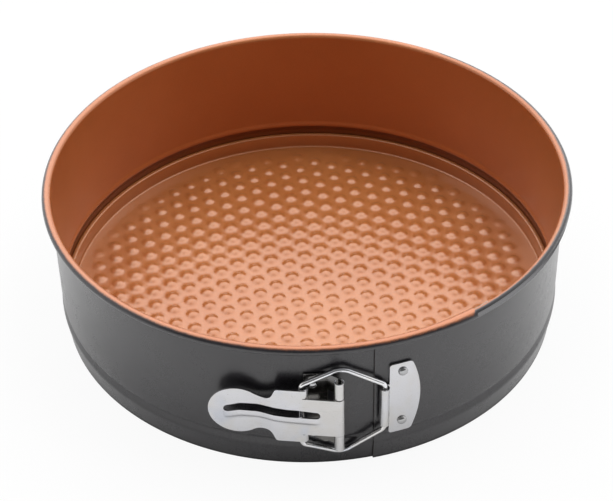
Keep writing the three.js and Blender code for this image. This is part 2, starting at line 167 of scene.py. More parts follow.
def charcoalSignals(place):
    look = charcoalLook
    cloud = place.noise(look["cloud"], 4.0)
    grain = place.noise(look["grain"], 2.0)
    fleck = place.noise(look["fleck"], 1.0).between(*look["fleckRange"])
    colour = (fleck * look["fleckShare"]).blend((*look["colour"], 1), (*look["pale"], 1))
    rough = look["roughness"] + (cloud - 0.5) * look["cloudRough"] + (grain - 0.5) * look["grainRough"]
    return colour, rough, grain


def makeCopper():
    material, start = newFinish("copperCoating")
    colour, rough, grain = copperSignals(surfacePlace(start))
    shader = start.node("BsdfPrincipled", None, {
        "Base Color": colour, "Roughness": rough, "Metallic": copperLook["metal"],
        "Coat Weight": copperLook["gloss"], "Coat Roughness": copperLook["coatRoughness"],
        "Normal": fineBump(start, copperLook["relief"], grain)})
    closeFinish(start, shader)
    return material


def outsideOfBand(start, place):  # 0 on the copper, 1 on the charcoal
    look = bandLook
    centred = start.node("VectorMath", {"operation": "ADD"}, {0: place, 1: (0, -panAxis / 1000, 0)})
    flat = centred.scaled((1, 1, 0))
    outward = start.node("VectorMath", {"operation": "NORMALIZE"}, {0: flat})
    normal = start.node("TexCoord", out="Normal")
    facing = start.node("VectorMath", {"operation": "DOT_PRODUCT"}, {0: outward, 1: normal}, 1)
    ragged = place.noise(look["raggedScale"], 3.0) - 0.5
    spray = place.noise(look["sprayScale"], 3.0) - 0.5
    across, _, height = place.parts()
    past = across.between(look["outerFrom"], look["outerTo"])
    along = across * look["overRimSlope"] + look["overRim"]
    limit = along * (1 - past) + past * look["overOuterEnd"]
    reach = start.node("VectorMath", {"operation": "LENGTH"}, {0: flat}, 1)
    low = (look["rollUnder"] - height).between(0.0, look["rollFade"])
    under = reach.between(look["rollFrom"], look["rollTo"]) * low  # the roll's underside stays dark
    edge = facing + ragged * look["ragged"] + spray * look["spray"] - limit + under * look["rollDark"]
    return edge.between(look["fadeFrom"], look["fadeTo"])  # it ends in overspray


def makeBandCoating():
    material, start = newFinish("bandCoating")
    place = surfacePlace(start)
    outside = outsideOfBand(start, place)
    inside = 1 - outside
    copper, copperRough, copperGrain = copperSignals(place)
    height = place.parts()[2]
    # painted shade: below the ridge the copper is darkened towards the shade colour, standing in for
    # the shadow in the gap
    paintedGrooveShade = (bandLook["paintedShadeTop"] - height).between(0.0, bandLook["paintedShadeFade"])
    copper = paintedGrooveShade.blend(copper.scaled(copperLook["wall"]), (*copperLook["shade"], 1))
    dark, darkRough, darkGrain = charcoalSignals(place)
    rough = copperRough + outside * (darkRough - copperRough)
    grain = copperGrain + outside * (darkGrain - copperGrain)
    copperGloss = (1 - paintedGrooveShade * bandLook["paintedShadeDim"]) * copperLook["gloss"]  # coat dimmed in the painted shade under the ridge
    shader = start.node("BsdfPrincipled", None, {
        "Base Color": outside.blend(copper, dark), "Roughness": rough,
        "Metallic": inside * copperLook["metal"],
        "Coat Weight": inside * copperGloss + outside * charcoalLook["gloss"],
        "Coat Roughness": bandLook["coatRoughness"],
        "Normal": fineBump(start, bandLook["relief"], grain)})
    closeFinish(start, shader)
    return material


# Zinc on the latch, bare steel where the band is cut

zincLook = {
    # dull is a darkened zinc tone, painted shade on the hinge bracket's plate behind the lever
    "colour": (0.735, 0.735, 0.76), "dull": (0.22, 0.215, 0.21), "head": (0.52, 0.52, 0.53),
    "bright": (0.93, 0.93, 0.95), "roughness": 0.19, "polish": 0.09,
    "warm": (0.96, 0.94, 0.89, 1), "cloud": 75.0, "cloudRange": (0.40, 0.68), "cloudRough": 0.8,
    "cool": (0.89, 0.915, 0.96, 1), "patch": 55.0, "patchRange": (0.55, 0.75),
    "speck": (0.45, 0.43, 0.40, 1), "fleck": 1300.0, "fleckRange": (0.63, 0.74), "fleckShare": 0.30,
    "scratch": (60.0, 60.0, 1600.0), "scratchRange": (0.60, 0.75), "scratchRough": 0.4,
    "grain": 3000.0, "grainRough": 0.08, "relief": 0.07,
}
steelLook = {"dark": (0.20, 0.17, 0.145, 1), "light": (0.42, 0.38, 0.34, 1), "roughness": 0.35,
             "cloud": 500.0, "cloudRange": (0.35, 0.65), "cloudRough": 0.2}


def makeZinc(name, plating, roughness):
    look = zincLook
    material, start = newFinish(name)
    place = surfacePlace(start)
    cloud = place.noise(look["cloud"], 4.0)
    patch = place.noise(look["patch"], 2.0).between(*look["patchRange"])
    grain = place.noise(look["grain"], 3.0)
    fleck = place.noise(look["fleck"], 2.0).between(*look["fleckRange"])
    scratch = place.scaled(look["scratch"]).noise(1.0, 2.0).between(*look["scratchRange"])
    tint = cloud.between(*look["cloudRange"]).blend((1, 1, 1, 1), look["warm"])
    tint = patch.blend(tint, look["cool"])
    tint = (fleck * look["fleckShare"]).blend(tint, look["speck"])
    uneven = (cloud - 0.5) * look["cloudRough"] + scratch * look["scratchRough"]
    rough = roughness + uneven * roughness + (grain - 0.5) * look["grainRough"]
    shader = start.node("BsdfPrincipled", None, {
        "Base Color": tint.scaled(plating), "Roughness": rough, "Metallic": 1.0,
        "Normal": fineBump(start, look["relief"], grain * 0.5 + scratch * 0.5)})
    closeFinish(start, shader)
    return material


def makeBareSteel():
    material, start = newFinish("bareSteel")
    cloud = surfacePlace(start).noise(steelLook["cloud"], 3.0)
    colour = cloud.between(*steelLook["cloudRange"]).blend(steelLook["dark"], steelLook["light"])
    rough = steelLook["roughness"] + (cloud - 0.5) * steelLook["cloudRough"]
    shader = start.node("BsdfPrincipled", None, {"Base Color": colour, "Roughness": rough,
                                                 "Metallic": 1.0})
    closeFinish(start, shader)
    return material


copperCoating = makeCopper()
bandCoating = makeBandCoating()
zincPlate = makeZinc("zincPlate", zincLook["colour"], zincLook["roughness"])
# painted shade: a darkened copy of the zinc for the hinge plate that lies in the lever's shadow
zincShadedPlate = makeZinc("zincShadedPlate", zincLook["dull"], zincLook["roughness"])
zincPolish = makeZinc("zincPolish", zincLook["bright"], zincLook["polish"])
zincHead = makeZinc("zincHead", zincLook["head"], zincLook["polish"])
bareSteel = makeBareSteel()
print("finishes made")


# Modelling helpers: every piece is drawn in millimetres about the pan's axis

near = 0.001  # mm, for finding edges by their place


def around(radius, angle, height=0.0):  # degrees from the latch side, growing towards +X
    return Vector((radius * sin(radians(angle)), -radius * cos(radians(angle)), height))


def easeBetween(value, low, high):
    share = min(max((value - low) / (high - low), 0.0), 1.0)
    return share * share * (3 - 2 * share)


def chain(bm, points):
    verts = [bm.verts.new(p) for p in points]
    for a, b in zip(verts, verts[1:]):
        bm.edges.new((a, b))
    return verts


def vertsOf(geom):
    return [g for g in geom if isinstance(g, bmesh.types.BMVert)]


def edgesOf(geom):
    return [g for g in geom if isinstance(g, bmesh.types.BMEdge)]


def withEnds(edges):
    return list({v for e in edges for v in e.verts}) + list(edges)


def roundCorners(bm, verts, width, segments=4):
    bmesh.ops.bevel(bm, geom=verts, offset=width, offset_type="OFFSET", affect="VERTICES",
                    segments=segments, profile=0.5, material=-1, clamp_overlap=True)


def spinAbout(bm, geom, centre, axis, degreesTurned, steps):
    made = bmesh.ops.spin(bm, geom=geom, cent=centre, axis=axis, angle=radians(degreesTurned),
                          steps=steps, use_merge=False)
    return made["geom_last"]


def spinRound(bm, geom, steps):
    bmesh.ops.spin(bm, geom=geom, cent=(0, 0, 0), axis=(0, 0, 1), angle=2 * pi, steps=steps,
                   use_merge=True)


def rollUp(bm, vert, centre, degreesTurned, steps, flatness):
    before = set(bm.verts)
    spinAbout(bm, [vert], centre, (0, 1, 0), degreesTurned, steps)
    curl = [v for v in bm.verts if v not in before]
    bmesh.ops.transform(bm, matrix=Matrix.Diagonal((1, 1, flatness, 1)), verts=curl,
                        space=Matrix.Translation(-centre))
    return curl


def addPiece(name, bm, materials, body, nodes, mends=()):
    bmesh.ops.remove_doubles(bm, verts=bm.verts[:], dist=0.0005)
    loose = [v for v in bm.verts if not v.link_faces]
    bmesh.ops.delete(bm, geom=loose, context="VERTS")
    bmesh.ops.recalc_face_normals(bm, faces=bm.faces[:])
    bmesh.ops.translate(bm, verts=bm.verts[:], vec=(0, panAxis, 0))
    bmesh.ops.scale(bm, verts=bm.verts[:], vec=(0.001, 0.001, 0.001))
    mesh = bpy.data.meshes.new(name)
    bm.to_mesh(mesh)
    bm.free()
    mesh.shade_smooth()
    for material in materials:
        mesh.materials.append(material)
    piece = bpy.data.objects.new(name, mesh)
    scene.collection.objects.link(piece)
    for kind, settings in mends:
        modifier = piece.modifiers.new(kind.lower(), kind)
        for key, value in settings.items():
            setattr(modifier, key, value)
    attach(piece, body)
    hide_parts(*nodes)
    print("piece", name, len(mesh.vertices), "vertices")


def thicken(millimetres, rimMaterial=0):
    return "SOLIDIFY", {"thickness": millimetres / 1000, "offset": 0.0,
                        "material_offset_rim": rimMaterial}


def softEdges(millimetres):
    return "BEVEL", {"width": millimetres / 1000, "segments": 2, "limit_method": "ANGLE",
                     "angle_limit": radians(40), "harden_normals": True}


# Band: foot, skirt, inward ridge, wall and rolled rim, swept round with lapping ends

band = {
    "sheet": 0.6, "edge": 0.12, "wall": 121.9, "footIn": 1.2, "footLip": 1.2, "shoulder": 0.35,
    "shoulderTop": 12.0, "skirtRound": 1.0, "ridge": 15.1, "ridgeIn": 0.75, "ridgeRun": 1.9,
    "ridgeRound": 0.7, "wallMarks": (30.0, 50.0), "plainTop": 70.1,
    "rollWide": 1.9, "rollTall": 1.7, "rollHeight": 70.5, "rollTurn": 276, "rollSteps": 26,
    "outerEnd": 12.9, "innerEnd": 39.6, "rollStart": 33.6, "rollStop": 394.8,  # degrees
    "lap": 0.95, "lapFrom": 43.6, "lapTo": 78.0, "nest": 0.48,
    "swell": 0.26, "swellFrom": 20, "swellTo": 34, "stepsPerTurn": 264,
}


def bandProfile(bm, rolled):
    wall, ridgeTop = band["wall"], band["ridge"] + band["ridgeRun"]
    low = [(wall - band["footIn"], 0.0), (wall - band["footIn"], band["footLip"]),
           (wall + band["shoulder"], band["shoulderTop"] - band["footLip"]),
           (wall + band["shoulder"], band["shoulderTop"]),
           (wall - band["ridgeIn"], band["ridge"]), (wall, ridgeTop)]
    low += [(wall, mark) for mark in band["wallMarks"]] + [(wall, band["plainTop"])]
    verts = chain(bm, [(r, 0, z) for r, z in low])
    if rolled:
        top = bm.verts.new((wall, 0, band["rollHeight"]))
        bm.edges.new((verts[-1], top))
        centre = Vector((wall + band["rollWide"], 0, band["rollHeight"]))
        rollUp(bm, top, centre, band["rollTurn"], band["rollSteps"],
               band["rollTall"] / band["rollWide"])
    roundCorners(bm, verts[1:4], band["skirtRound"])
    for height in (band["ridge"], ridgeTop):
        bend = [v for v in bm.verts if abs(v.co.z - height) < 0.01]
        roundCorners(bm, bend, band["ridgeRound"])


def lapGrowth(angle):
    return band["lap"] * (1 - easeBetween(angle, band["lapFrom"], band["lapTo"]))


def sweepBand(bm, rolled, start, stop):
    part = bmesh.new()
    bandProfile(part, rolled)
    turn = Matrix.Rotation(radians(start - 90), 4, "Z")
    bmesh.ops.transform(part, matrix=turn, verts=part.verts[:])
    steps = max(2, round((stop - start) * band["stepsPerTurn"] / 360))
    spinAbout(part, part.verts[:] + part.edges[:], (0, 0, 0), (0, 0, 1), stop - start, steps)
    innerHalf = start >= band["lapTo"]
    for v in part.verts:
        angle = degrees(atan2(v.co.x, -v.co.y))
        outward = Vector((v.co.x, v.co.y, 0)).normalized()
        growth = 0.0 if innerHalf else lapGrowth(angle)
        if v.co.z > band["plainTop"] + 0.01:  # the outer end's roll slips into the inner end's
            change = -band["nest"] * growth / band["lap"]
            if innerHalf and angle < band["lapFrom"]:
                change = band["swell"] * easeBetween(angle, band["swellFrom"], band["swellTo"])
            v.co += outward * (v.co.xy.length - band["wall"]) * change
            v.co.z += (v.co.z - band["rollHeight"]) * change
        v.co += outward * growth
    mesh = bpy.data.meshes.new("stretch")
    part.to_mesh(mesh)
    part.free()
    bm.from_mesh(mesh)
    bpy.data.meshes.remove(mesh)


def makeBand():
    bm = bmesh.new()
    sweepBand(bm, False, band["outerEnd"], band["rollStart"])
    sweepBand(bm, True, band["rollStart"], band["lapTo"])
    sweepBand(bm, True, band["lapTo"], band["rollStop"])
    sweepBand(bm, False, band["rollStop"], 360 + band["innerEnd"])
    bmesh.ops.remove_doubles(bm, verts=bm.verts[:], dist=0.02)
    addPiece("panBand", bm, [bandCoating, bareSteel], "pan", ["band"],
             [thicken(band["sheet"], 1), softEdges(band["edge"])])


makeBand()


# Base: tray with a turned-over rim, its floor a field of pressed bumps

base = {
    "sheet": 0.6, "floorMid": 1.6, "fillet": 1.3, "filletSteps": 5, "riser": 119.3,
    "rollMid": 8.9, "roll": 0.95, "rollFlat": 0.4, "rollSteps": 8, "hemLow": 6.9, "steps": 264,
    "pitch": 10.09, "rise": 1.2, "bumpSides": 12, "field": 111.9, "fadeFrom": 104.0, "fadeBy": 0.6,
    "rowAngle": 37.9, "shift": (1.0, 2.0),
    "rings": [(0, 1.0), (1.15, 0.91), (2.2, 0.62), (3.0, 0.24), (3.85, 0)],  # a bump's slope
}


def makeCell():  # one bump in its six-sided patch of floor
    bm = bmesh.new()
    slope = chain(bm, [(r, 0, base["rise"] * z) for r, z in base["rings"]])
    spinRound(bm, slope + bm.edges[:], base["bumpSides"])
    bmesh.ops.remove_doubles(bm, verts=bm.verts[:], dist=0.001)
    foot = [e for e in bm.edges if e.is_boundary]
    for v in vertsOf(bmesh.ops.extrude_edge_only(bm, edges=foot)["geom"]):
        side = round(degrees(atan2(v.co.y, v.co.x)) * base["bumpSides"] / 360)
        reach = base["pitch"] / 2 if side % 2 == 0 else base["pitch"] / sqrt(3)
        v.co.xy = v.co.xy.normalized() * reach
    bmesh.ops.rotate(bm, verts=bm.verts[:], cent=(0, 0, 0),
                     matrix=Matrix.Rotation(radians(base["rowAngle"]), 3, "Z"))
    mesh = bpy.data.meshes.new("cell")
    bm.to_mesh(mesh)
    bm.free()
    return mesh


def bumpSpots():
    reach = int(base["field"] / base["pitch"]) + 3
    turn = Matrix.Rotation(radians(base["rowAngle"]), 2)
    for row in range(-reach, reach + 1):
        for i in range(-2 * reach, 2 * reach + 1):
            spot = Vector(((i + row / 2) * base["pitch"], row * base["pitch"] * sqrt(0.75)))
            spot = turn @ spot + Vector(base["shift"])
            if spot.length < base["field"]:
                yield spot


def makeBase():
    bm = bmesh.new()
    cell = makeCell()
    for spot in bumpSpots():
        known = len(bm.verts)
        bm.from_mesh(cell)
        bm.verts.ensure_lookup_table()
        added = bm.verts[known:]
        fade = 1 - base["fadeBy"] * easeBetween(spot.length, base["fadeFrom"], base["field"])
        bmesh.ops.scale(bm, verts=added, vec=(1, 1, fade))  # the outermost bumps are lower
        bmesh.ops.translate(bm, verts=added, vec=(*spot, base["floorMid"]))
    bpy.data.meshes.remove(cell)
    bmesh.ops.remove_doubles(bm, verts=bm.verts[:], dist=0.02)
    field = [e for e in bm.edges if e.is_boundary]
    flat = base["riser"] - base["fillet"]
    verts = chain(bm, [(flat, 0, base["floorMid"]), (base["riser"], 0, base["floorMid"]),
                       (base["riser"], 0, base["rollMid"])])
    hem = bm.verts.new((base["riser"] + 2 * base["roll"], 0, base["hemLow"]))
    centre = Vector((base["riser"] + base["roll"], 0, base["rollMid"]))
    curl = rollUp(bm, verts[2], centre, 180, base["rollSteps"], base["rollFlat"])
    bm.edges.new((max(curl, key=lambda v: v.co.x), hem))
    roundCorners(bm, verts[1:2], base["fillet"], base["filletSteps"])
    wires = [e for e in bm.edges if not e.link_faces]
    spinRound(bm, withEnds(wires), base["steps"])
    bmesh.ops.remove_doubles(bm, verts=bm.verts[:], dist=0.001)
    ring = [e for e in bm.edges if e.is_boundary
            and all(abs(v.co.xy.length - flat) < 0.05 for v in e.verts)]
    bmesh.ops.triangle_fill(bm, edges=field + ring, use_beauty=True, normal=(0, 0, 1))
    addPiece("panBase", bm, [copperCoating], "pan", ["base_disc"],
             [thicken(base["sheet"])])


makeBase()


# Latch: places shared by its pieces

latch = {"middle": 35.9, "wireMiddle": 34.9, "wall": 122.2, "pinAngle": 5.382, "pinStand": 6.27,
         "pin": 1.3, "wire": 1.15, "play": 0.25, "seat": 0.25, "tilt": 7.0}
pinSpot = around(latch["wall"] + latch["pinStand"], latch["pinAngle"])
plateWay = Vector((cos(radians(-latch["tilt"])), sin(radians(-latch["tilt"])), 0))
plateOut = Vector((plateWay.y, -plateWay.x, 0))
leverFrame = Matrix.Translation(pinSpot + Vector((0, 0, latch["middle"]))) @ Matrix(
    (plateWay, (0, 0, 1), plateOut)).transposed().to_4x4()


# Lever: a plate drawn on a grid, with a wavy slot, folded wings and a knuckle round the pin

lever = {
    "sheet": 0.9, "edge": 0.26, "length": 57.3, "tongue": 10.6,
    "wing": 15.2, "wingStart": 13.2, "wingEnd": 28.0, "corner": 1.6,
    "neck": 9.3, "neckPlace": 32.5, "neckCurve": 3.2, "paddle": 12.9, "paddleJoin": 62,
    "joggle": 1.7, "joggleFrom": 27.0, "joggleTo": 37.0,
    "hookGap": 3.05, "hookEnd": 17.4, "hookLow": 10.9, "hookSteps": 10,
    "knuckleTurn": 285, "knuckleSteps": 24,
    "slot": 3.4, "slotRound": 1.6, "slotRoom": 6.6, "slotTip": 0.12,
    "lipRise": 1.25, "lipWide": 4.6, "lipRun": 2.1, "lipRows": 10, "lowRows": 5, "highRows": 8,
    "waves": [(0.88, 0.9), (0.73, 2.9), (0.56, 3.1), (0.35, 2.1), (0.14, 1.4)],  # slot's middle
    "tipAngle": 3, "tipColumns": 15, "columnStep": 0.7, "endColumns": (0.12, 0.35, 0.7),
    "columnMarks": (-41.0, -37.0, -33.0, -30.5), "slotLead": 1.5,
}
leverDepth = latch["pin"] + latch["play"] + lever["sheet"] / 2
foldRadius = (lever["hookGap"] + lever["sheet"]) / 2
foldPlace = -lever["wingStart"] - lever["sheet"] - lever["hookGap"] / 2
paddleMid = -lever["length"] + lever["paddle"]
slotFirst = -lever["waves"][0][0] * lever["length"]
slotLast = -lever["waves"][-1][0] * lever["length"]


def leverHalf(x):  # half width of the plate's outline
    join = paddleMid + lever["paddle"] * cos(radians(lever["paddleJoin"]))
    joinHalf = lever["paddle"] * sin(radians(lever["paddleJoin"]))
    if x <= join:
        return sqrt(max(lever["paddle"] ** 2 - (x - paddleMid) ** 2, 0.04))
    if x <= -lever["neckPlace"]:
        share = (x - join) / (-lever["neckPlace"] - join)
        return joinHalf + (lever["neck"] - joinHalf) * (1 - (1 - share) ** 2)
    square = lever["wing"] - lever["corner"]
    if x < -lever["wingEnd"]:
        share = (x + lever["neckPlace"]) / (lever["neckPlace"] - lever["wingEnd"])
        return lever["neck"] + (square - lever["neck"]) * share ** lever["neckCurve"]
    inset = max(-lever["wingEnd"] + lever["corner"] - x, 0.0)
    return square + sqrt(max(lever["corner"] ** 2 - inset ** 2, 0.0))


def slotMiddle(x):
    knots = [(-share * lever["length"], y) for share, y in lever["waves"]]
    if x <= knots[0][0]:
        return knots[0][1]
    for (x0, y0), (x1, y1) in zip(knots, knots[1:]):
        if x <= x1:
            return y0 + (y1 - y0) * easeBetween(x, x0, x1)
    return knots[-1][1]


def slotShare(x):  # 0 to 1 along the slot
    return (x - slotFirst) / (slotLast - slotFirst)


def slotRounding(x):
    into = max(min(x - slotFirst, slotLast - x, lever["slotRound"]), 0.0) / lever["slotRound"]
    return max(sqrt(1 - (1 - into) ** 2), lever["slotTip"])


def leverColumns():
    turn = (90 - lever["tipAngle"]) / (lever["tipColumns"] - 1)
    columns = [paddleMid - lever["paddle"] * cos(radians(lever["tipAngle"] + i * turn))
               for i in range(lever["tipColumns"])]
    marks = [paddleMid, *lever["columnMarks"], -lever["wingEnd"],
             -lever["wingEnd"] + lever["corner"], -lever["hookEnd"], foldPlace,
             -lever["wingStart"], slotLast - lever["slotLead"], slotLast, 0.0]
    for a, b in zip(marks, marks[1:]):
        count = max(3, round((b - a) / lever["columnStep"]))
        columns += [a + (b - a) * (i + 1) / count for i in range(count)]
    for into in lever["endColumns"]:  # the slot's round ends
        columns += [slotFirst + into, slotLast - into]
    columns.append(slotFirst)
    return sorted(columns)


def leverRows():  # kind of row, then its place: from the slot's middle, or as a share of the way
    half, low, high = lever["slot"] / 2, lever["lowRows"], lever["highRows"]
    wings = [lever["wing"], (lever["wing"] + lever["hookLow"]) / 2, lever["hookLow"],
             lever["tongue"]]
    rows = [("edge", -y) for y in wings] + [("below", i / low) for i in range(1, low)]
    rows += [("slot", -half - lever["lipWide"] * (1 - i / lever["lipRows"]))
             for i in range(lever["lipRows"] + 1)]
    rows += [("slot", half)] + [("above", i / high) for i in range(1, high)]
    return rows + [("edge", y) for y in reversed(wings)]


def leverHeight(x, kind, value):
    wing = 1.0 if x >= -lever["wingEnd"] + lever["corner"] else leverHalf(x) / lever["wing"]
    if kind == "edge":
        return value * wing
    reach = lever["tongue"] * wing
    fit = min(reach / lever["slotRoom"], 1.0)  # the rows draw together towards the tip
    middle, half = slotMiddle(x) * fit, lever["slot"] / 2 * fit
    if kind == "slot":
        closing = half * (1 - slotRounding(x))  # the slot's ends are round
        return middle + value * fit + (closing if value < 0 else -closing)
    if kind == "below":  # from the tongue's lower edge to the lip
        return -reach + (middle - half - lever["lipWide"] * fit + reach) * value
    return middle + half + (reach - middle - half) * value  # up to the tongue's upper edge


def leverOut(x, kind, value):
    out = leverDepth - lever["joggle"] * easeBetween(-x, lever["joggleFrom"], lever["joggleTo"])
    share = slotShare(x)
    if kind == "slot" and value < 0 and 0 < share < 1:
        foot = -lever["slot"] / 2 - lever["lipWide"]
        up = easeBetween(value, foot, foot + lever["lipRun"])
        out += lever["lipRise"] * sqrt(sin(pi * share)) * up
    return out


def makeLever():
    columns, rows = leverColumns(), leverRows()
    bm = bmesh.new()
    bmesh.ops.create_grid(bm, x_segments=len(columns) - 1, y_segments=len(rows) - 1, size=0.5)
    label = {}
    for v in bm.verts:
        i = round((v.co.x + 0.5) * (len(columns) - 1))
        j = round((v.co.y + 0.5) * (len(rows) - 1))
        x = columns[i]
        label[v] = (i, j)
        v.co = (x, leverHeight(x, *rows[j]), leverOut(x, *rows[j]))
    slotRow = rows.index(("slot", -lever["slot"] / 2))
    spare = []
    for face in bm.faces:
        i = min(label[v][0] for v in face.verts)
        j = min(label[v][1] for v in face.verts)
        x = (columns[i] + columns[i + 1]) / 2
        sideRow = min(j, len(rows) - 2 - j)  # 0 and 1 folded wing, 2 relief beside the tongue
        inSlot = j == slotRow and 0 < slotShare(x) < 1
        if inSlot or (sideRow < 3 and x > foldPlace):
            spare.append(face)
    bmesh.ops.delete(bm, geom=spare, context="FACES")
    fold = [e for e in bm.edges if e.is_boundary
            and all(abs(v.co.x - foldPlace) < near for v in e.verts)
            and lever["hookLow"] - 0.01 < abs(sum(v.co.y for v in e.verts) / 2)]
    bend = (foldPlace, 0, leverDepth - foldRadius)
    last = spinAbout(bm, withEnds(fold), bend, (0, 1, 0), 180, lever["hookSteps"])
    flange = bmesh.ops.extrude_edge_only(bm, edges=edgesOf(last))["geom"]
    for v in vertsOf(flange):
        v.co.x = -lever["hookEnd"]
    root = [e for e in bm.edges if e.is_boundary and all(abs(v.co.x) < near for v in e.verts)]
    spinAbout(bm, withEnds(root), (0, 0, 0), (0, 1, 0), lever["knuckleTurn"], lever["knuckleSteps"])
    bmesh.ops.transform(bm, matrix=leverFrame, verts=bm.verts[:])
    addPiece("latchLever", bm, [zincPlate], "lever", ["lever"],
             [thicken(lever["sheet"]), softEdges(lever["edge"])])


makeLever()


# Hinge bracket: a plate on the wall, its two straps rolled round the pin

hinge = {"sheet": 0.7, "edge": 0.2, "half": 20.6, "knuckle": 20.2, "gap": 10.85, "left": -1.5,
         "fold": 3.4, "columns": 6, "turn": -275, "turnSteps": 22}


def makeHinge():
    bm = bmesh.new()
    plate = latch["wall"] + latch["seat"] + hinge["sheet"] / 2
    radius = latch["pin"] + latch["play"] + hinge["sheet"] / 2
    upper = [hinge["gap"], hinge["knuckle"], hinge["half"]]
    heights = [-z for z in reversed(upper)] + upper
    wide = hinge["fold"] - hinge["left"]
    angles = [hinge["left"] + wide * i / hinge["columns"] for i in range(hinge["columns"] + 1)]
    chain(bm, [around(plate, a, latch["middle"] + heights[0]) for a in angles])
    rowEdges = bm.edges[:]
    for low, high in zip(heights, heights[1:]):
        raised = bmesh.ops.extrude_edge_only(bm, edges=rowEdges)["geom"]
        bmesh.ops.translate(bm, verts=vertsOf(raised), vec=(0, 0, high - low))
        rowEdges = [e for e in edgesOf(raised) if abs(e.verts[0].co.z - e.verts[1].co.z) < near]
    foldSpot = around(plate, hinge["fold"])
    toPin = pinSpot - foldSpot
    lean = atan2(toPin.y, toPin.x)
    touchAngle = lean + atan2(radius, sqrt(max(toPin.length_squared - radius ** 2, 0))) + pi / 2
    touch = pinSpot + Vector((cos(touchAngle), sin(touchAngle), 0)) * radius
    straps = [e for e in bm.edges if all((v.co.xy - foldSpot.xy).length < near for v in e.verts)
              and hinge["gap"] < abs(sum(v.co.z for v in e.verts) / 2 - latch["middle"])
              < hinge["knuckle"]]
    run = bmesh.ops.extrude_edge_only(bm, edges=straps)["geom"]
    for v in vertsOf(run):
        v.co.xy = touch.xy
    tips = [e for e in edgesOf(run) if all((v.co.xy - touch.xy).length < near for v in e.verts)]
    flatFaces = set(bm.faces)
    spinAbout(bm, withEnds(tips), pinSpot, (0, 0, 1), hinge["turn"], hinge["turnSteps"])
    # the flat plate takes the darkened zinc as painted shade; the rolled straps keep the plain zinc
    for face in bm.faces:
        face.material_index = 1 if face in flatFaces else 0
    addPiece("hingeBracket", bm, [zincPlate, zincShadedPlate], "pan", ["hinge_bracket"],
             [thicken(hinge["sheet"]), softEdges(hinge["edge"])])


makeHinge()


# Keeper: a bowed plate on the outer end, its tongue rolled into an eye for the wire

keeper = {"sheet": 0.8, "edge": 0.26, "half": 20.35, "left": 15.9, "right": 20.7, "bow": 4.2,
          "lift": 0.6, "columns": 8, "rows": (6, 10, 6), "corner": 1.4, "wall": 123.15,
          "eyeAngle": 14.7, "eyeHalf": 10.9, "turn": -285, "turnSteps": 24}
keeperMid = keeper["wall"] + latch["seat"] + keeper["sheet"] / 2
eyeRadius = latch["wire"] + latch["play"] + keeper["sheet"] / 2
eyeSpot = around(keeperMid + eyeRadius, keeper["eyeAngle"])


def makeKeeper():
    bm = bmesh.new()
    middle = latch["middle"] + keeper["lift"]
    drop = latch["wireMiddle"] - middle
    low, high = drop - keeper["eyeHalf"], drop + keeper["eyeHalf"]
    marks = [-keeper["half"], low, high, keeper["half"]]
    heights = [marks[0]]
    for a, b, count in zip(marks, marks[1:], keeper["rows"]):
        heights += [a + (b - a) * (i + 1) / count for i in range(count)]
    bmesh.ops.create_grid(bm, x_segments=keeper["columns"], y_segments=len(heights) - 1, size=0.5)
    for v in bm.verts:
        share = v.co.x + 0.5
        rise = heights[round((v.co.y + 0.5) * (len(heights) - 1))]
        bowed = degrees(keeper["bow"] * (1 - (rise / keeper["half"]) ** 2) / keeperMid)
        angle = keeper["left"] + (keeper["right"] + bowed - keeper["left"]) * share
        v.co = around(keeperMid, angle, middle + rise)
    leftSpot = around(keeperMid, keeper["left"])
    root = [e for e in bm.edges if e.is_boundary
            and all((v.co.xy - leftSpot.xy).length < 0.01 for v in e.verts)
            and low < sum(v.co.z for v in e.verts) / 2 - middle < high]
    run = bmesh.ops.extrude_edge_only(bm, edges=root)["geom"]
    start = around(keeperMid, keeper["eyeAngle"])
    for v in vertsOf(run):
        v.co.xy = start.xy
    tips = [e for e in edgesOf(run) if all((v.co.xy - start.xy).length < near for v in e.verts)]
    spinAbout(bm, withEnds(tips), eyeSpot, (0, 0, 1), keeper["turn"], keeper["turnSteps"])
    corners = [v for v in bm.verts if len(v.link_faces) == 1
               and abs(abs(v.co.z - middle) - keeper["half"]) < 0.01]
    roundCorners(bm, corners, keeper["corner"])
    addPiece("keeperPlate", bm, [zincPlate], "pan", ["keeper"],
             [thicken(keeper["sheet"]), softEdges(keeper["edge"])])


makeKeeper()


# Wire loop: from the lever's hooks out to two peaks and into the keeper's eye

wire = {"legPlace": 16.4, "legBack": 0.2, "legHalf": 17.7, "peakPlace": 17.6, "peakHalf": 25.2,
        "eyeHalf": 13.2, "endGap": 0.6, "bend": 1.6, "bendSteps": 8, "peakBend": 3.6,
        "peakSteps": 10, "sides": 20}


def wirePoints():
    leg = leverFrame @ Vector((-wire["legPlace"], 0, -wire["legBack"]))
    way = Vector((eyeSpot.x - leg.x, eyeSpot.y - leg.y, 0))
    reach = way.length
    way.normalize()

    def at(place, rise):
        return Vector((leg.x, leg.y, latch["wireMiddle"] + rise)) + way * place

    bm = bmesh.new()
    upper = [(reach, wire["endGap"] / 2), (reach, wire["eyeHalf"]),
             (wire["peakPlace"], wire["peakHalf"]), (0, wire["legHalf"])]
    lower = [(place, -rise) for place, rise in reversed(upper)]
    verts = chain(bm, [at(*spot) for spot in upper + lower])
    tight = [verts[1], verts[3], verts[4], verts[6]]
    roundCorners(bm, tight, wire["bend"], wire["bendSteps"])
    peaks = [v for v in bm.verts
             if abs(abs(v.co.z - latch["wireMiddle"]) - wire["peakHalf"]) < 0.01]
    roundCorners(bm, peaks, wire["peakBend"], wire["peakSteps"])
    path = [v for v in bm.verts if len(v.link_edges) == 1][:1]
    while True:
        onward = [e.other_vert(path[-1]) for e in path[-1].link_edges]
        onward = [v for v in onward if v not in path[-2:]]
        if not onward:
            break
        path.append(onward[0])
    points = [v.co.copy() for v in path]
    bm.free()
    return points


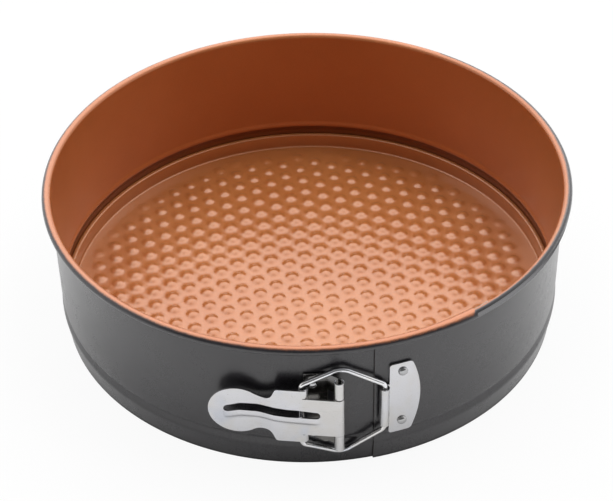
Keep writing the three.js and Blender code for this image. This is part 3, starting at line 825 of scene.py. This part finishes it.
def makeWire():
    points = wirePoints()
    curve = bpy.data.curves.new("wirePath", "CURVE")
    curve.dimensions = "3D"
    curve.bevel_depth = latch["wire"]
    curve.bevel_resolution = wire["sides"] // 4
    curve.use_fill_caps = True
    spline = curve.splines.new("POLY")
    spline.points.add(len(points) - 1)
    for target, co in zip(spline.points, points):
        target.co = (*co, 1)
    holder = bpy.data.objects.new("wirePath", curve)
    scene.collection.objects.link(holder)
    bpy.context.view_layer.update()
    finished = holder.evaluated_get(bpy.context.evaluated_depsgraph_get())
    tube = bpy.data.meshes.new_from_object(finished)
    bpy.data.objects.remove(holder)
    bpy.data.curves.remove(curve)
    bm = bmesh.new()
    bm.from_mesh(tube)
    bpy.data.meshes.remove(tube)
    addPiece("latchWire", bm, [zincPolish], "wire", ["wire_loop"])


makeWire()


# Pin and rivets

pin = {"half": 16.7, "chamfer": 0.3, "sides": 24}


def makePin():
    bm = bmesh.new()
    bmesh.ops.create_cone(bm, cap_ends=True, segments=pin["sides"], radius1=latch["pin"],
                          radius2=latch["pin"], depth=2 * pin["half"])
    rims = [e for e in bm.edges if abs(e.verts[0].co.z - e.verts[1].co.z) < near]
    bmesh.ops.bevel(bm, geom=rims, offset=pin["chamfer"], affect="EDGES", segments=2, profile=0.5,
                    material=-1)
    bmesh.ops.translate(bm, verts=bm.verts[:], vec=pinSpot + Vector((0, 0, latch["middle"])))
    addPiece("hingePin", bm, [zincPlate], "pan", ["hinge_pin"])


makePin()

rivet = {
    "head": 2.15, "rise": 1.15, "shank": 1.1, "tail": 0.6, "standOff": 0.5, "steps": 28,
    "dome": [(1.0, 0.0), (1.0, 0.22), (0.86, 0.66), (0.58, 1.0), (0.28, 1.13)],
    "spots": {"rivet_keeper_upper": (keeper, 18.7, 52.0), "rivet_keeper_lower": (keeper, 18.7, 22.6),
              "rivet_hinge_upper": (hinge, 0.3, 50.7), "rivet_hinge_lower": (hinge, 0.3, 21.1)},
}


def makeRivet(node):
    plate, angle, height = rivet["spots"][node]
    seat = plate["sheet"] + rivet["standOff"]
    bm = bmesh.new()
    profile = [(0, -rivet["tail"]), (rivet["shank"], -rivet["tail"]), (rivet["shank"], seat)]
    profile += [(rivet["head"] * share, seat + rise) for share, rise in rivet["dome"]]
    profile.append((0, seat + rivet["rise"]))
    chain(bm, [(r, 0, z) for r, z in profile])
    spinRound(bm, bm.verts[:] + bm.edges[:], rivet["steps"])
    turn = around(1, angle).to_track_quat("Z", "Y").to_matrix().to_4x4()
    wall = plate.get("wall", latch["wall"])
    place = Matrix.Translation(around(wall, angle, height)) @ turn
    bmesh.ops.transform(bm, matrix=place, verts=bm.verts[:])
    name = "rivet" + "".join(word.title() for word in node.split("_")[1:])
    addPiece(name, bm, [zincHead], "pan", [node])


for node in rivet["spots"]:
    makeRivet(node)


# Camera at the photograph's view

view = {"place": (0.0, -0.636501, 0.545682), "right": (0.99980266, -0.01181041, -0.01597334),
        "up": (0.0198421, 0.63262444, 0.7742045), "back": (0.00096145, -0.77436867, 0.63273394),
        "lens": 97.72, "sensor": 36.0, "clipStart": 0.01}
lensData = bpy.data.cameras.new("camera")
lensData.lens = view["lens"]
lensData.sensor_width = view["sensor"]
lensData.clip_start = view["clipStart"]
cameraObject = bpy.data.objects.new("camera", lensData)
cameraObject.matrix_world = Matrix.Translation(view["place"]) @ Matrix(
    (view["right"], view["up"], view["back"])).transposed().to_4x4()
scene.collection.objects.link(cameraObject)
scene.camera = cameraObject


# Floor, surround and lamps

studio = {
    "floor": (0.86, 0.86, 0.86, 1), "floorRadius": 4.0, "floorSides": 64, "floorGlow": 0.93,
    "floorMirror": 0.14,
    "surround": 0.49, "above": 0.90, "aboveFrom": 0.70, "aboveTo": 0.98,
    "front": 0.16, "frontLean": 0.35, "frontFrom": 0.1, "frontTo": 0.75,
    "lamps": [((-0.7, 0.1, 1.5), (1.2, 1.2), 6.0, False),  # place, size, watts, seen in the gloss
              ((0.7, 0.1, 1.5), (1.0, 1.0), 10.0, False),
              ((0.0, 0.9, 1.5), (2.6, 2.0), 24.0, True)],
}


def seenRays(start, mirrored=1.0):
    path = start.node("LightPath").socket.node
    rays = [Signal(start.tree, path.outputs[name])
            for name in ("Is Camera Ray", "Is Glossy Ray", "Is Transmission Ray")]
    return rays[0].larger(rays[1].larger(rays[2]) * mirrored)


def makeFloor():
    bm = bmesh.new()
    bmesh.ops.create_circle(bm, cap_ends=True, segments=studio["floorSides"],
                            radius=studio["floorRadius"])
    mesh = bpy.data.meshes.new("studioFloor")
    bm.to_mesh(mesh)
    bm.free()
    material, start = newFinish("paleFloor")
    matt = start.node("BsdfDiffuse", None, {"Color": studio["floor"]})
    glow = start.node("Emission", None, {"Color": (1, 1, 1, 1), "Strength": 1.0})
    share = seenRays(start, studio["floorMirror"]) * studio["floorGlow"]
    closeFinish(start, start.node("MixShader", None, {0: share, 1: matt, 2: glow}))
    mesh.materials.append(material)
    floor = bpy.data.objects.new("studioFloor", mesh)
    scene.collection.objects.link(floor)


def makeSurround():
    world = bpy.data.worlds.new("studioSurround")
    scene.world = world
    world.use_nodes = True
    world.node_tree.nodes.clear()
    start = Signal(world.node_tree)
    way = start.node("TexCoord", out="Generated").parts()
    above = way[2].between(studio["aboveFrom"], studio["aboveTo"])
    ahead = way[2] * studio["frontLean"] - way[1]
    front = ahead.between(studio["frontFrom"], studio["frontTo"])  # the room behind the camera is dim
    sky = above.blend((1, 1, 1, 1), (studio["above"],) * 3 + (1,))
    sky = front.blend(sky, (studio["front"],) * 3 + (1,))
    seen = start.node("Background", None, {"Color": sky, "Strength": 1.0})
    light = start.node("Background", None, {"Color": sky, "Strength": studio["surround"]})
    shader = start.node("MixShader", None, {0: seenRays(start), 1: light, 2: seen})
    start.node("OutputWorld", None, {"Surface": shader})


def makeLamps():
    for number, (place, (wide, tall), power, mirrored) in enumerate(studio["lamps"]):
        lamp = bpy.data.lights.new("softLamp%d" % number, "AREA")
        lamp.shape = "RECTANGLE"
        lamp.size = wide
        lamp.size_y = tall
        lamp.energy = power
        holder = bpy.data.objects.new(lamp.name, lamp)
        holder.location = place
        holder.visible_glossy = mirrored
        holder.visible_camera = False
        holder.rotation_euler = (-Vector(place)).to_track_quat("-Z", "Y").to_euler()
        scene.collection.objects.link(holder)


makeFloor()
makeSurround()
makeLamps()
print("stage set")
